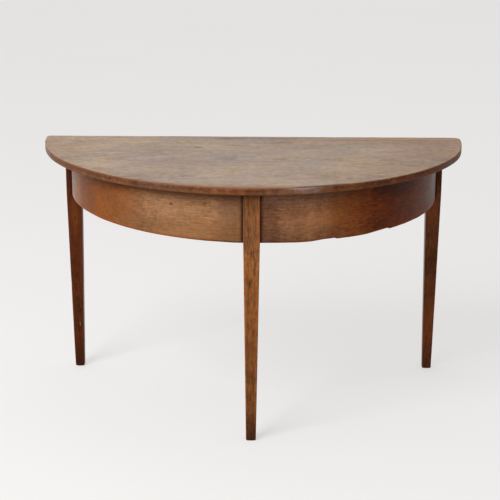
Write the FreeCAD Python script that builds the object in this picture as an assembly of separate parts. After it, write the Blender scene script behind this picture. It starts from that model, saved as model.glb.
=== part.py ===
import FreeCAD, Part
import math
import os

# Oak demilune table: a half-round top of three boards on three square tapered legs, with two
# bowed apron rails, a straight back rail, a centre brace, glue blocks and pocket screws.
# Frame: +X to the right seen from the front, +Y towards the wall, +Z up. The origin lies on the
# floor under the middle of the top's outline. Lengths are in millimetres, angles in degrees.

# Top
top_radius = 610.0              # radius of the half round, and so the depth of the table
table_height = 715.0
top_thickness = 19.0
top_corner_radius = 14.0        # rounding of the two back corners, seen from above
top_arris_bevel = 2.0           # eased arrises round the edge of the top
front_board_width = 214.0
back_board_width = 100.0

# Legs
leg_width = 44.0                # square section through the height of the apron
foot_width = 27.0               # square section at the floor
leg_arris_radius = 2.0
foot_bevel = 2.0
front_overhang = 29.0           # top past the front leg
back_setback = 4.0              # back legs in from the back edge of the top

# Apron rails and back rail
apron_height = 137.0
apron_thickness = 20.0
apron_arris_bevel = 1.5         # eased lower arrises of the apron rails
leg_proud = 3.0                 # front leg past the face of the apron
leg_reveal = 22.0               # outer face of a back leg past the face of the apron
rail_thickness = 22.0
rail_inset = 3.0                # back rail in from the back of the back legs

# Mortise and tenon joints
tenon_thickness = 8.0
tenon_top_shoulder = 22.0
tenon_bottom_shoulder = 12.0
rail_tenon_length = 28.0
mortise_wall = 4.0              # wood left between two mortises that come close
mortise_clearance = 0.2         # glue line round a tenon

# Centre brace
brace_thickness = 22.0
brace_height = 70.0
brace_shoulder = 10.0
brace_front_tenon = 14.0
brace_back_tenon = 9.0

# Glue blocks under the top, and upright blocks in the corners
block_length = 70.0
block_side = 26.0
corner_block_side = 26.0
corner_block_margin = 12.0
curved_glue_line = 0.1
apron_block_angles = (22.0, 45.0, 68.0)     # from the front leg, round the apron's centre
rail_end_gap = 118.0            # from a back leg to the middle of the nearest block on the back rail

# Pocket screws
screw_diameter = 4.2
screw_head_diameter = 8.4
screw_crown_diameter = 5.0
screw_head_height = 3.2
screw_slot_width = 1.0
screw_slot_depth = 1.4
screw_point_length = 6.0
screw_bite = 13.0               # screw in the top
screw_grip = 15.0               # screw between the floor of the pocket and the top
screw_tilt = 20.0
screw_clearance = 0.15
pocket_diameter = 14.0
pocket_length = 60.0
apron_screw_angles = (33.5, 56.5)

# Turns and directions
quarter_turn = 90.0
half_turn = 180.0
full_turn = 360.0
upwards = FreeCAD.Vector(0, 0, 1)

# Shared planes and radii
front_y = -top_radius / 2
back_y = top_radius / 2
outside = 2 * top_radius        # a limit that lies well clear of the table
rail_top_z = table_height - top_thickness
rail_bottom_z = rail_top_z - apron_height
half_leg = leg_width / 2
front_leg_front_y = front_y + front_overhang
front_leg_back_y = front_leg_front_y + leg_width
back_leg_back_y = back_y - back_setback
back_leg_front_y = back_leg_back_y - leg_width
apron_centre_y = back_leg_front_y
apron_centre = FreeCAD.Vector(0, apron_centre_y, 0)
apron_outer_radius = apron_centre_y - front_leg_front_y - leg_proud
apron_inner_radius = apron_outer_radius - apron_thickness
apron_mid_radius = (apron_outer_radius + apron_inner_radius) / 2
back_leg_outer_x = apron_outer_radius + leg_reveal
back_leg_inner_x = back_leg_outer_x - leg_width
rail_back_y = back_leg_back_y - rail_inset
rail_front_y = rail_back_y - rail_thickness
rail_mid_y = (rail_front_y + rail_back_y) / 2
rail_height_range = (rail_bottom_z, rail_top_z)
rail_step_count = 3             # steps from the middle of the back rail to its outer block
rail_step = (back_leg_inner_x - rail_end_gap) / rail_step_count

# Tenons, each as its limits along X, Y and Z
half_tenon = tenon_thickness / 2
tenon_height_range = (rail_bottom_z + tenon_bottom_shoulder, rail_top_z - tenon_top_shoulder)
apron_front_y = apron_centre_y - apron_mid_radius
apron_front_tenon = (
    (mortise_wall, half_leg),
    (apron_front_y - half_tenon, apron_front_y + half_tenon),
    tenon_height_range,
)
apron_back_tenon = (
    (apron_mid_radius - half_tenon, apron_mid_radius + half_tenon),
    (back_leg_front_y, rail_mid_y - half_tenon - mortise_wall),
    tenon_height_range,
)
rail_tenon = (
    (back_leg_inner_x, back_leg_inner_x + rail_tenon_length),
    (rail_mid_y - half_tenon, rail_mid_y + half_tenon),
    tenon_height_range,
)
brace_bottom_z = rail_top_z - brace_height
brace_tenon_height_range = (brace_bottom_z + brace_shoulder, rail_top_z - brace_shoulder)
brace_tenon_width_range = (-half_tenon, half_tenon)
brace_tenon_in_leg = (
    brace_tenon_width_range,
    (front_leg_back_y - brace_front_tenon, front_leg_back_y),
    brace_tenon_height_range,
)
brace_tenon_in_rail = (
    brace_tenon_width_range,
    (rail_front_y, rail_front_y + brace_back_tenon),
    brace_tenon_height_range,
)


def block(limits):
    """A rectangular block between two limits along each axis."""
    low = FreeCAD.Vector(*[pair[0] for pair in limits])
    return Part.makeBox(*[pair[1] - pair[0] for pair in limits], low)


def mortise(tenon):
    """The hollow that takes a tenon, with the glue line all round it."""
    return block([(low - mortise_clearance, high + mortise_clearance) for low, high in tenon])


def mirrored(shape):
    """The same piece on the left side of the table."""
    return shape.mirror(FreeCAD.Vector(0, 0, 0), FreeCAD.Vector(1, 0, 0))


def flat_face(points):
    """A flat face inside a closed outline of straight sides."""
    return Part.Face(Part.makePolygon(points + points[:1]))


def prism(points, direction):
    """A solid swept from a closed outline of straight sides."""
    return flat_face(points).extrude(direction)


def rounded(wire_points):
    """A closed wire of lines and arcs: each entry is an end point, or a middle and an end point."""
    edges = []
    start = wire_points[-1][-1]
    for points in wire_points:
        if len(points) == 1:
            edges.append(Part.LineSegment(start, points[0]).toShape())
        else:
            edges.append(Part.Arc(start, points[0], points[1]).toShape())
        start = points[-1]
    return Part.Wire(edges)


def rounded_square(x_limits, y_limits, z):
    """A rectangle at one height with the corners eased by the arris radius of the legs."""
    corners = ((1, 0), (1, 1), (0, 1), (0, 0))
    points = []
    for number, (x_end, y_end) in enumerate(corners):
        turn = number * quarter_turn
        centre_x = x_limits[x_end] + (leg_arris_radius if x_end == 0 else -leg_arris_radius)
        centre_y = y_limits[y_end] + (leg_arris_radius if y_end == 0 else -leg_arris_radius)
        arc = []
        for angle in (turn - quarter_turn, turn - quarter_turn / 2, turn):
            x = centre_x + leg_arris_radius * math.cos(math.radians(angle))
            y = centre_y + leg_arris_radius * math.sin(math.radians(angle))
            arc.append(FreeCAD.Vector(x, y, z))
        points.append(arc[:1])
        points.append(arc[1:])
    return rounded(points)


def tapered_leg(block_x, block_y, foot_x, foot_y):
    """A leg that is square along the apron, tapers to the foot and is bevelled at the floor."""
    bevelled_x = (foot_x[0] + foot_bevel, foot_x[1] - foot_bevel)
    bevelled_y = (foot_y[0] + foot_bevel, foot_y[1] - foot_bevel)
    sections = [
        rounded_square(bevelled_x, bevelled_y, 0.0),
        rounded_square(foot_x, foot_y, foot_bevel),
        rounded_square(block_x, block_y, rail_bottom_z),
        rounded_square(block_x, block_y, rail_top_z),
    ]
    return Part.makeLoft(sections, True, True)


def make_front_leg():
    """Tapered on both sides and at the back, plumb in front, mortised for aprons and brace."""
    leg = tapered_leg(
        (-half_leg, half_leg),
        (front_leg_front_y, front_leg_back_y),
        (-foot_width / 2, foot_width / 2),
        (front_leg_front_y, front_leg_front_y + foot_width),
    )
    right_mortise = mortise(apron_front_tenon)
    return leg.cut([right_mortise, mirrored(right_mortise), mortise(brace_tenon_in_leg)])


def make_back_leg():
    """Right back leg: tapered on both sides and in front, plumb behind, mortised for apron and rail."""
    foot_margin = (leg_width - foot_width) / 2
    leg = tapered_leg(
        (back_leg_inner_x, back_leg_outer_x),
        (back_leg_front_y, back_leg_back_y),
        (back_leg_inner_x + foot_margin, back_leg_outer_x - foot_margin),
        (back_leg_back_y - foot_width, back_leg_back_y),
    )
    return leg.cut([mortise(apron_back_tenon), mortise(rail_tenon)])


def make_top():
    """The half round with rounded back corners and eased arrises, before it is cut into boards."""
    centre = FreeCAD.Vector(0, back_y, rail_top_z)
    disc = Part.makeCylinder(top_radius, top_thickness, centre)
    disc.rotate(centre, upwards, quarter_turn)
    back_half = block([(-outside, outside), (back_y, outside), (rail_top_z, table_height)])
    half_round = disc.cut(back_half)
    upright_edges = [edge for edge in half_round.Edges if edge.BoundBox.ZLength > top_thickness / 2]
    slab = half_round.makeFillet(top_corner_radius, upright_edges)
    level_edges = [edge for edge in slab.Edges if edge.BoundBox.ZLength < top_thickness / 2]
    return slab.makeChamfer(top_arris_bevel, level_edges)


def cut_boards(top, pilot_holes):
    """The three boards of the top, from the front to the back, with the screws' holes."""
    front_joint_y = front_y + front_board_width
    back_joint_y = back_y - back_board_width
    spans = {
        "top_front_board": (-outside, front_joint_y),
        "top_middle_board": (front_joint_y, back_joint_y),
        "top_back_board": (back_joint_y, outside),
    }
    boards = {}
    for name, span in spans.items():
        strip = block([(-outside, outside), span, (rail_top_z, table_height)])
        boards[name] = top.common(strip).cut(pilot_holes)
    return boards


def make_apron(pockets):
    """Right apron rail: a quarter round with a tenon at each end and pockets on the inner face."""
    section = flat_face([
        FreeCAD.Vector(apron_inner_radius, apron_centre_y, rail_bottom_z),
        FreeCAD.Vector(apron_outer_radius, apron_centre_y, rail_bottom_z),
        FreeCAD.Vector(apron_outer_radius, apron_centre_y, rail_top_z),
        FreeCAD.Vector(apron_inner_radius, apron_centre_y, rail_top_z),
    ])
    quarter = section.revolve(apron_centre, upwards, -quarter_turn)
    bottom_edges = [
        edge for edge in quarter.Edges
        if edge.BoundBox.ZMax < rail_bottom_z + apron_arris_bevel and edge.Length > apron_inner_radius
    ]
    eased = quarter.makeChamfer(apron_arris_bevel, bottom_edges)
    leg_room = block([(0.0, half_leg), (front_y, apron_centre_y), rail_height_range])
    tenons = [block(apron_front_tenon), block(apron_back_tenon)]
    return eased.cut(leg_room).fuse(tenons).removeSplitter().cut(pockets)


def make_back_rail(pockets):
    """Straight rail between the back legs, with a tenon at each end and the brace's mortise."""
    rail = block([(-back_leg_inner_x, back_leg_inner_x), (rail_front_y, rail_back_y), rail_height_range])
    right_tenon = block(rail_tenon)
    whole = rail.fuse([right_tenon, mirrored(right_tenon)]).removeSplitter()
    return whole.cut([mortise(brace_tenon_in_rail)] + pockets)


def make_brace():
    """Brace from the back of the front leg to the back rail, with a tenon at each end."""
    half_brace = brace_thickness / 2
    body = block([
        (-half_brace, half_brace),
        (front_leg_back_y, rail_front_y),
        (brace_bottom_z, rail_top_z),
    ])
    return body.fuse([block(brace_tenon_in_leg), block(brace_tenon_in_rail)]).removeSplitter()


def inside_apron():
    """The space that the apron's inner face closes in, less the glue line."""
    radius = apron_inner_radius - curved_glue_line
    base = FreeCAD.Vector(0, apron_centre_y, rail_bottom_z)
    return Part.makeCylinder(radius, apron_height, base)


def make_apron_block(angle):
    """Three-cornered glue block under the top, its back scribed to the bow of the apron."""
    face_y = apron_centre_y - apron_inner_radius
    start_x = -block_length / 2
    outline = [
        FreeCAD.Vector(start_x, face_y - apron_thickness, rail_top_z),
        FreeCAD.Vector(start_x, face_y + block_side, rail_top_z),
        FreeCAD.Vector(start_x, face_y, rail_top_z - block_side),
        FreeCAD.Vector(start_x, face_y - apron_thickness, rail_top_z - block_side),
    ]
    wedge = prism(outline, FreeCAD.Vector(block_length, 0, 0)).common(inside_apron())
    return wedge.rotate(apron_centre, upwards, angle)


def make_rail_block(place):
    """Three-cornered glue block between the top and the back rail."""
    start_x = place - block_length / 2
    outline = [
        FreeCAD.Vector(start_x, rail_front_y, rail_top_z),
        FreeCAD.Vector(start_x, rail_front_y - block_side, rail_top_z),
        FreeCAD.Vector(start_x, rail_front_y, rail_top_z - block_side),
    ]
    return prism(outline, FreeCAD.Vector(block_length, 0, 0))


def make_front_corner_block():
    """Upright block in the corner of the front leg and the right apron rail."""
    bottom_z = rail_bottom_z + corner_block_margin
    outline = [
        FreeCAD.Vector(half_leg, apron_front_y, bottom_z),
        FreeCAD.Vector(half_leg + corner_block_side, apron_front_y, bottom_z),
        FreeCAD.Vector(half_leg, front_leg_back_y - leg_arris_radius, bottom_z),
    ]
    height = apron_height - 2 * corner_block_margin
    return prism(outline, FreeCAD.Vector(0, 0, height)).common(inside_apron())


def make_back_corner_block():
    """Upright block in the corner of the right back leg and the back rail."""
    bottom_z = rail_bottom_z + corner_block_margin
    outline = [
        FreeCAD.Vector(back_leg_inner_x, rail_front_y, bottom_z),
        FreeCAD.Vector(back_leg_inner_x - corner_block_side, rail_front_y, bottom_z),
        FreeCAD.Vector(back_leg_inner_x, back_leg_front_y + leg_arris_radius, bottom_z),
    ]
    return prism(outline, FreeCAD.Vector(0, 0, apron_height - 2 * corner_block_margin))


def make_screw():
    """Slotted screw along Z, flat under its bevelled head, with the underside of the top at zero."""
    radius = screw_diameter / 2
    head_radius = screw_head_diameter / 2
    seat_z = -screw_grip
    crown_z = seat_z - screw_head_height
    shoulder_z = screw_bite - screw_point_length
    half_section = flat_face([
        FreeCAD.Vector(0, 0, crown_z),
        FreeCAD.Vector(screw_crown_diameter / 2, 0, crown_z),
        FreeCAD.Vector(head_radius, 0, seat_z),
        FreeCAD.Vector(radius, 0, seat_z),
        FreeCAD.Vector(radius, 0, shoulder_z),
        FreeCAD.Vector(0, 0, screw_bite),
    ])
    screw = half_section.revolve(FreeCAD.Vector(0, 0, 0), upwards, full_turn)
    slot = block([
        (-head_radius, head_radius),
        (-screw_slot_width / 2, screw_slot_width / 2),
        (crown_z, crown_z + screw_slot_depth),
    ])
    return screw.cut(slot)


def screw_cylinder(diameter, low_z, high_z):
    """A round hole on the axis of a screw."""
    return Part.makeCylinder(diameter / 2, high_z - low_z, FreeCAD.Vector(0, 0, low_z))


def placed(shape, place):
    """A copy of a shape moved to one of the screws' places."""
    copy = shape.copy()
    copy.Placement = place
    return copy


def screw_place(x, y, heading):
    """Where a screw crosses the underside of the top, leaning outwards along its heading."""
    return FreeCAD.Placement(FreeCAD.Vector(x, y, rail_top_z), FreeCAD.Rotation(heading, 0, screw_tilt))


def apron_screw_place(angle):
    """A screw's place at an angle round the apron, from the front leg to the right."""
    x = apron_mid_radius * math.sin(math.radians(angle))
    y = apron_centre_y - apron_mid_radius * math.cos(math.radians(angle))
    return screw_place(x, y, angle)


def build():
    """Every node of the table, by name."""
    right_places = [apron_screw_place(angle) for angle in apron_screw_angles]
    left_places = [apron_screw_place(-angle) for angle in apron_screw_angles]
    rail_places = [screw_place(side * 2 * rail_step, rail_mid_y, half_turn) for side in (-1, 1)]
    all_places = right_places + left_places + rail_places

    hole_diameter = screw_diameter + 2 * screw_clearance
    pocket = screw_cylinder(pocket_diameter, -pocket_length, -screw_grip)
    passage = screw_cylinder(hole_diameter, -screw_grip, screw_bite + screw_clearance)
    right_pockets = [placed(hole, place) for place in right_places for hole in (pocket, passage)]
    rail_pockets = [placed(hole, place) for place in rail_places for hole in (pocket, passage)]
    pilot_holes = [placed(passage, place) for place in all_places]

    nodes = cut_boards(make_top(), pilot_holes)
    nodes["front_leg"] = make_front_leg()
    nodes["back_rail"] = make_back_rail(rail_pockets)
    nodes["centre_brace"] = make_brace()
    screw = make_screw()
    nodes["top_screws"] = Part.makeCompound([placed(screw, place) for place in all_places])

    right_pieces = {
        "apron": make_apron(right_pockets),
        "back_leg": make_back_leg(),
        "front_corner_block": make_front_corner_block(),
        "back_corner_block": make_back_corner_block(),
    }
    for number, angle in enumerate(apron_block_angles, 1):
        right_pieces[f"apron_block_{number}"] = make_apron_block(angle)
    for number, step in enumerate((1, rail_step_count), 1):
        right_pieces[f"rail_block_{number}"] = make_rail_block(step * rail_step)
    for name, shape in right_pieces.items():
        nodes[f"{name}_right"] = shape
        nodes[f"{name}_left"] = mirrored(shape)
    return nodes


os.makedirs("parts", exist_ok=True)
for node_name, node_shape in build().items():
    node_shape.exportStep(f"parts/{node_name}.step")
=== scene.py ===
import math
import random

import bmesh
import bpy
from mathutils import Matrix, Vector, noise


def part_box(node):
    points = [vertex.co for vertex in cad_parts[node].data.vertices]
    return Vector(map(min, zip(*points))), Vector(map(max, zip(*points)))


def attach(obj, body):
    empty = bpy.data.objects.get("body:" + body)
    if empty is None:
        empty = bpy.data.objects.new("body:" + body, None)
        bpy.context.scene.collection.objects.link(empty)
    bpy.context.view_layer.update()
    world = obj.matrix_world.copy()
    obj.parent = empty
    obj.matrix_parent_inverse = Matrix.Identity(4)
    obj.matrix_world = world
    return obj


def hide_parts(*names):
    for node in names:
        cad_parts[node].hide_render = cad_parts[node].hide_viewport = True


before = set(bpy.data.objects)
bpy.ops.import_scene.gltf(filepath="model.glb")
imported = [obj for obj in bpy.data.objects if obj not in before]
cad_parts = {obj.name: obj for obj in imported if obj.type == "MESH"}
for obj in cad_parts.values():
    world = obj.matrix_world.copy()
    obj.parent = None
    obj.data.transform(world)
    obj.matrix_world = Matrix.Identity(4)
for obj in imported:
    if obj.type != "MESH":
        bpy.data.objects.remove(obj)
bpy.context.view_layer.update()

random.seed(1790)

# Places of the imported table, in metres
front_board_low, front_board_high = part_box("top_front_board")
back_board_low, back_board_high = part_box("top_back_board")
apron_low, apron_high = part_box("apron_right")
front_leg_low, front_leg_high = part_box("front_leg")
back_leg_low, back_leg_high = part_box("back_leg_right")
left_leg_low, left_leg_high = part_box("back_leg_left")
rail_low, rail_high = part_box("back_rail")
brace_low, brace_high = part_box("centre_brace")

top_z = front_board_high.z
top_under_z = front_board_low.z
top_back_y = back_board_high.y
top_radius = top_back_y - front_board_low.y
front_joint_y = front_board_high.y
back_joint_y = back_board_low.y
rail_bottom_z = apron_low.z
apron_centre_y = back_leg_low.y
apron_radius = apron_high.x
half_leg = front_leg_high.x

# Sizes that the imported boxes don't give
foot_width = 0.027
left_corner_radius = 0.014
apron_thickness = 0.020
screw_head_height = 0.0032
pocket_radius = 0.007
pocket_length = 0.045

# How far the wood is worn
right_corner_radius = 0.020
right_fullness = 0.0025
right_end_loss = 0.0047
rim_front_width = 0.030
rim_side_width = 0.005
rim_unevenness = 0.4
wear_depth = 0.0038
top_arris = 0.0030
top_arris_wear = 0.0016
top_least_arris = 0.0008
top_lower_arris = 0.0014
top_wave = 0.0003
leg_arris = 0.0016
leg_arris_wear = 0.0014
foot_bevel = 0.0025
leg_wave = 0.008
apron_arris = 0.0016
apron_arris_wear = 0.0014
apron_upper_arris = 0.0005
apron_band_depth = 0.00035
edge_wave = 0.0005
left_edge_slope = 0.00017
rail_arris = 0.0012
rail_wave = 0.0002
block_bevel = 0.0008

# Dents in the arrises: how many, and the least and the most of place, reach and depth
nick_count = 26
nick_spans = ((-1.4, 1.4), (0.004, 0.014), (0.0004, 0.0018))
dent_count = 16
dent_spans = ((0.0, 0.5), (0.003, 0.012), (0.0005, 0.0022))

# Noise in the wear of the top: waves to the metre and a seed
arris_noise = (14, 3.1)
fine_arris_noise = (55, 8.7)
lower_arris_noise = (30, 5.5)
rim_noise = (7, 9.2)

# Stretches round the top in degrees, from the front to the right: a start and the first full place,
# or these with the last full place and an end
right_full_turns = (25, 50, 66, 80)
right_short_turns = (70, 88)
rim_narrow_turns = (4, 40)
rim_faint_turns = (45, 70)
brown_rim_turns = (-68, -50, 24, 38)

# Wear and dirt of the top: how far in each starts and ends, and its levels
right_short_reach = (0.7 * top_radius, top_radius)
rim_softness = (0.08, 1.0)
side_rim_level = 0.45
back_rim_level = 0.35
back_rim_reach = (0.005, 0.03)
brown_rim_reach = (0.0015, 0.006)
brown_edge_reach = (0.0003, 0.0024)
top_dirt_reach = (0.001, 0.004)

# Wear and dirt of the legs, and painted shade on them under the top and below the aprons. The ends are those
# of the left and the right arris, above the aprons' lower edge
leg_wear_reach = (0.0012, 0.006)
leg_wear_ends = (-0.06, 0.07)
leg_wear_fade = 0.066
foot_wear_gain = 1.4
foot_wear_reach = (0.0, 0.07)
front_foot_dirt = 0.85
back_foot_dirt = 0.55
foot_dirt_reach = (0.008, 0.11)
# Painted shade on the upper legs, darker towards the underside of the top: its strength and reach
leg_top_shade = 0.3
leg_top_reach = (top_under_z - 0.02, top_under_z)
# A painted shadow of the aprons on the back legs' front faces, reaching lower towards the inside: its lean,
# narrowness, reach below the apron and depth from the front face
shadow_lean = 1.6
shadow_narrowness = 3
shadow_reach = (0.012, 0.034)
shadow_depth = (0.002, 0.008)

# Wear and dirt of the aprons and rails, and painted shade under the top and beside the front leg, in degrees
# from the front and metres from an edge
apron_wear_turns = (4, 10)
apron_wear_reach = (0.002, 0.010)
# Dirt and painted shade in the joint beside the front leg, then dirt beside the back legs
beside_leg_reach = (0.0035, 0.0095)
beside_back_reach = (0.001, 0.010)
# Painted shade under the top's overhang, stronger round the sides: its reach down from the top, its turns and
# its strength
under_top_reach = (0.010, 0.030)
under_top_turns = (8, 24)
under_top_shade = 0.32
lower_dirt_reach = (0.001, 0.009)
lower_dirt_turns = (6, 26)
lower_dirt_levels = (0.75, 0.15)
raw_reach = (0.7 * apron_thickness, 0.95 * apron_thickness)
rail_end_dirt = 0.6
rail_end_reach = (0.0, 0.03)

# Lower edges of the aprons, in degrees from the front: the left one climbs, and on the right
# each fault has its start, where it is full, its last full place, its end and its rise
left_edge_reach = (5.0, 60.0)
right_edge_faults = [
    (6.0, 13.0, 80.0, 88.0, -0.0018),
    (16.5, 21.5, 24.6, 25.3, 0.0032),
    (34.0, 43.5, 43.9, 44.6, 0.0033),
]

# How finely the meshes are divided
ring_step = 0.006
outline_step = 0.007
corner_steps = 4
top_rings = 26
first_top_ring = 0.04
rim_rings = [0.985, 0.995, 1.0]
under_rings = [0.3, 0.7, 0.9, 0.98, 1.0]
side_rings = [0.25, 0.5, 0.75]
apron_end_shares = [0.0015, 0.004, 0.008, 0.014]
sharp_angle = math.radians(38)
flat_angle = math.radians(0.5)
weld = 1e-6


def colour(red, green, blue):
    """A colour given in the usual 0 to 255 steps, as the shaders take it."""
    linear = []
    for channel in (red, green, blue):
        share = channel / 255
        linear.append(share / 12.92 if share <= 0.04045 else ((share + 0.055) / 1.055) ** 2.4)
    return (*linear, 1.0)


def shades(red, green, blue):
    """A dark, a middle and a light tone of one colour."""
    return [colour(*(channel * level for channel in (red, green, blue))) for level in shade_levels]


def wobble(first, second, third):
    """Smooth noise between -1 and 1 that is the same in every run."""
    return noise.noise(Vector((first, second, third)))


def ripple(first, second, third):
    """The same noise between 0 and 1."""
    return 0.5 + 0.5 * wobble(first, second, third)


def uneven(point, waves, seed):
    """The noise over a plan, with so many waves to the metre."""
    return wobble(point.x * waves, point.y * waves, seed)


def smooth(reach, value):
    """0 below the reach, 1 above it and a soft step between."""
    low, high = reach
    share = min(max((value - low) / (high - low), 0.0), 1.0)
    return share * share * (3 - 2 * share)


def fade(reach, value):
    """1 below the reach, 0 above it and a soft step between."""
    return 1 - smooth(reach, value)


def stretch(places, value):
    """1 along a stretch: its start, its first and its last full place, and its end."""
    return smooth(places[:2], value) * fade(places[2:], value)


def mix(first, second, share):
    """The value a share of the way from the first to the second."""
    return first + (second - first) * share


def rows(count):
    """Shares of a side where points stand, closer together towards both ends."""
    return [0.5 - 0.5 * math.cos(math.pi * (number + 1) / (count + 1)) for number in range(count)]


def steps(length, step):
    """Evenly spaced shares from 0 to 1, about one step of the length apart."""
    count = max(round(length / step), 1)
    return [number / count for number in range(count + 1)]


# Meshes

def rounded_rectangle(low, high, radii, side_rows):
    """Points round a rectangle with its own radius at each corner, from the low corner anticlockwise."""
    centres = [
        (low[0] + radii[0], low[1] + radii[0]), (high[0] - radii[1], low[1] + radii[1]),
        (high[0] - radii[2], high[1] - radii[2]), (low[0] + radii[3], high[1] - radii[3]),
    ]
    quarter = math.pi / 2
    arcs = []
    for number, ((x, y), radius) in enumerate(zip(centres, radii)):
        angles = [math.pi + quarter * (number + share) for share in steps(1, 1 / corner_steps)]
        arcs.append([(x + radius * math.cos(angle), y + radius * math.sin(angle)) for angle in angles])
    points = []
    for arc, following, shares in zip(arcs, arcs[1:] + arcs[:1], side_rows):
        points += arc
        for share in shares:
            points.append([mix(first, second, share) for first, second in zip(arc[-1], following[0])])
    return points


def loft(rings):
    """A closed mesh through rings of equally many points, with both ends capped."""
    mesh = bmesh.new()
    loops = [[mesh.verts.new(point) for point in ring] for ring in rings]
    for loop, following in zip(loops, loops[1:]):
        for index in range(len(loop)):
            after = (index + 1) % len(loop)
            mesh.faces.new((loop[index], loop[after], following[after], following[index]))
    mesh.faces.new(list(reversed(loops[0])))
    mesh.faces.new(loops[-1])
    bmesh.ops.recalc_face_normals(mesh, faces=mesh.faces)
    return mesh


def put(name, data):
    """A new object in the scene that holds the data."""
    thing = bpy.data.objects.new(name, data)
    bpy.context.scene.collection.objects.link(thing)
    return thing


def mesh_object(name, made):
    """A scene object that holds a mesh made here."""
    mesh = bpy.data.meshes.new(name)
    made.to_mesh(mesh)
    made.free()
    return put(name, mesh)


def dress(node, made, material, grain, wear=None, dirt_and_shade=None, side=None, axes=()):
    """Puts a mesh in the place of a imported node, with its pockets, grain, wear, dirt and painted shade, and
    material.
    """
    piece = mesh_object("dressed_" + node, made)
    cut_pockets(piece, axes)
    mesh = piece.data
    points = [vertex.co.copy() for vertex in mesh.vertices]
    directions = mesh.attributes.new("grain", "FLOAT_VECTOR", "POINT")
    for point, value in zip(points, directions.data):
        value.vector = grain(point)
    for name, measure in (("wear", wear), ("dirt_and_shade", dirt_and_shade), ("side", side)):
        amounts = mesh.attributes.new(name, "FLOAT", "POINT")
        for point, amount in zip(points, amounts.data):
            amount.value = measure(point) if measure else 0.0
    mesh.materials.clear()
    mesh.materials.append(material)
    mesh.polygons.foreach_set("use_smooth", [True] * len(mesh.polygons))
    mesh.set_sharp_from_angle(angle=sharp_angle)
    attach(piece, "root")
    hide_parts(node)


# The top

def top_corner(side):
    """The middle and the radius of the rounding at one end of the back edge."""
    radius = right_corner_radius if side > 0 else left_corner_radius
    reach = top_radius - radius
    return Vector((math.copysign(math.sqrt(reach ** 2 - radius ** 2), side), top_back_y - radius)), radius


def top_turn(point):
    """Angle of a point round the top, in degrees from the front, to the right."""
    return math.degrees(math.atan2(point.x, top_back_y - point.y))


def right_end_shift(point):
    """How far the right end is off the true round: cut full at the side, worn short at the back."""
    turn = top_turn(point)
    short = smooth(right_short_turns, turn) * smooth(right_short_reach, point.x)
    return right_fullness * stretch(right_full_turns, turn) - right_end_loss * short


def top_outline():
    """Points and outward directions round the half disc, anticlockwise from the right back corner."""
    left, left_radius = top_corner(-1)
    right, right_radius = top_corner(1)
    left_lean = math.asin(left_radius / (top_radius - left_radius))
    right_lean = math.asin(right_radius / (top_radius - right_radius))
    outline = []

    def add(point, outward):
        point.x += right_end_shift(point)
        outline.append((point, outward))

    for share in steps(right.x - left.x, outline_step)[:-1]:
        add(Vector((mix(right.x, left.x, share), top_back_y)), Vector((0, 1)))
    arcs = [
        (left, left_radius, math.pi / 2, math.pi + left_lean, outline_step / 3),
        (Vector((0, top_back_y)), top_radius, math.pi + left_lean, math.tau - right_lean, outline_step),
        (right, right_radius, -right_lean, math.pi / 2, outline_step / 3),
    ]
    for centre, radius, start, end, step in arcs:
        for share in steps(radius * (end - start), step)[:-1]:
            angle = mix(start, end, share)
            outward = Vector((math.cos(angle), math.sin(angle)))
            add(centre + radius * outward, outward)
    return outline


def make_top():
    """The whole top as one mesh: underside, worn edge and upper face, ready to be cut into boards."""
    outline = top_outline()
    nicks = [[random.uniform(*span) for span in nick_spans] for _ in range(nick_count)]
    middle = Vector((0, top_back_y - 0.42 * top_radius))
    inner_offset = 0.005
    upper, lower = [], []
    for point, _ in outline:
        turn = math.atan2(point.x, top_back_y - point.y)
        radius = top_arris + top_arris_wear * uneven(point, *arris_noise)
        radius += 0.6 * top_arris_wear * uneven(point, *fine_arris_noise)
        for place, reach, depth in nicks:
            radius += depth * math.exp(-((turn - place) * top_radius / reach) ** 2)
        upper.append(max(radius, top_least_arris))
        lower.append(top_lower_arris * (1 + 0.5 * uneven(point, *lower_arris_noise)))

    def ring(offsets, heights):
        """One loop of points, drawn in from the outline and set at their heights."""
        places = [point - outward * offset for (point, outward), offset in zip(outline, offsets)]
        return [Vector((place.x, place.y, height)) for place, height in zip(places, heights)]

    def inner_ring(share, height):
        """One loop inside the edge, a share of the way from the middle to the edge."""
        edge = [point - outward * inner_offset for point, outward in outline]
        places = [middle + (point - middle) * share for point in edge]
        return [Vector((place.x, place.y, height)) for place in places]

    def arris_rings(arrises, level, down, count):
        """Loops from a face to the edge, round the arris between them."""
        loops = []
        for share in steps(1, 1 / count):
            angle = math.pi / 2 * share
            loops.append(ring([arris * (1 - math.sin(angle)) for arris in arrises],
                              [level - down * arris * (1 - math.cos(angle)) for arris in arrises]))
        return loops

    shares = [first_top_ring + (1 - first_top_ring) * number / top_rings for number in range(top_rings)]
    rings = [inner_ring(share, top_under_z) for share in under_rings]
    rings += arris_rings(lower, top_under_z, -1, corner_steps)
    for share in side_rings:
        height = mix(top_under_z + top_lower_arris, top_z - top_arris, share)
        waves = [1 - abs(wobble(number * 0.21, share * 9, 1.7)) for number in range(len(outline))]
        rings.append(ring([edge_wave * 0.5 * wave for wave in waves], [height] * len(outline)))
    rings += reversed(arris_rings(upper, top_z, 1, corner_steps + 1))
    rings += [inner_ring(share, top_z) for share in reversed(shares + rim_rings)]
    mesh = loft(rings)
    for vertex in mesh.verts:
        if vertex.co.z > top_z - top_arris:
            broad = wobble(vertex.co.x * 4, vertex.co.y * 9, 2.4)
            narrow = wobble(vertex.co.x * 11, vertex.co.y * 26, 6.6)
            vertex.co.z -= top_wave * (1 + broad) + 0.4 * top_wave * narrow
    return mesh


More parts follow.
